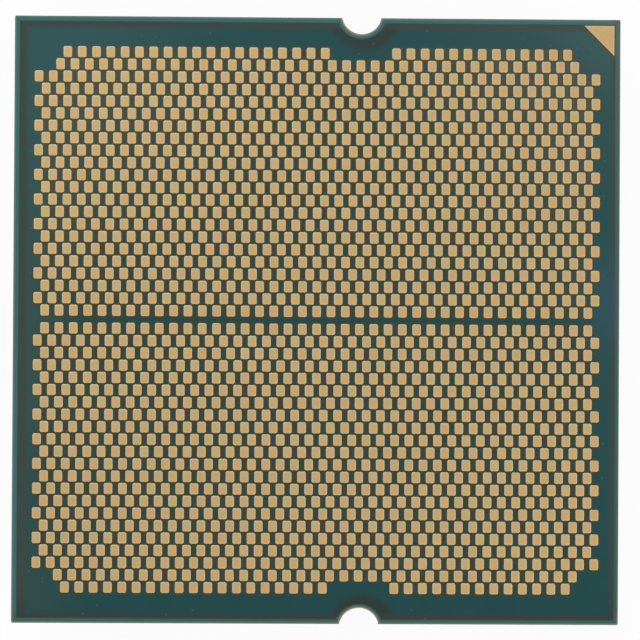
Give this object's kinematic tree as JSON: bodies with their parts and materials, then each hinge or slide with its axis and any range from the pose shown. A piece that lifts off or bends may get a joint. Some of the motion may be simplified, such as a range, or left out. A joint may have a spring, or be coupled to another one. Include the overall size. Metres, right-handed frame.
{
  "type": "computer processor",
  "caption": "Square land-grid processor: a laminate board with gold contact lands and two key notches, and dies and capacitors under a plated lid with arms.",
  "frame": {"origin": "middle of the lid's outer face, which the part lies on", "axes": "+Z out of the contact lands; +Y towards the edge whose notch is nearest the pin-one corner; +X towards the pin-one corner's other edge"},
  "size_m": [0.04, 0.04, 0.0047],
  "materials": {
    "board_mask": "satin solder mask over laminate",
    "land_gold": "matt gold plating",
    "lid_nickel": "satin nickel plating over copper",
    "lid_adhesive": "matt silicone",
    "die_silicon": "polished silicon",
    "underfill_resin": "cured resin",
    "die_solder": "reflowed indium",
    "capacitor_ceramic": "fired ceramic",
    "terminal_tin": "tin plating"
  },
  "bodies": {
    "root": {"substrate": "board_mask", "upper_lands": "land_gold", "lower_lands": "land_gold", "pin_one_marker": "land_gold", "pin_one_marker_lid_side": "land_gold", "heat_spreader": "lid_nickel", "lid_adhesive_1": "lid_adhesive", "lid_adhesive_2": "lid_adhesive", "lid_adhesive_3": "lid_adhesive", "lid_adhesive_4": "lid_adhesive", "lid_adhesive_5": "lid_adhesive", "lid_adhesive_6": "lid_adhesive", "lid_adhesive_7": "lid_adhesive", "lid_adhesive_8": "lid_adhesive", "io_die": "die_silicon", "compute_die_left": "die_silicon", "compute_die_right": "die_silicon", "io_die_underfill": "underfill_resin", "compute_die_left_underfill": "underfill_resin", "compute_die_right_underfill": "underfill_resin", "io_die_solder": "die_solder", "compute_die_left_solder": "die_solder", "compute_die_right_solder": "die_solder", "capacitor_bodies_north": "capacitor_ceramic", "capacitor_bodies_west": "capacitor_ceramic", "capacitor_bodies_south": "capacitor_ceramic", "capacitor_bodies_east": "capacitor_ceramic", "capacitor_terminals_north": "terminal_tin", "capacitor_terminals_west": "terminal_tin", "capacitor_terminals_south": "terminal_tin", "capacitor_terminals_east": "terminal_tin"}
  },
  "joints": []
}
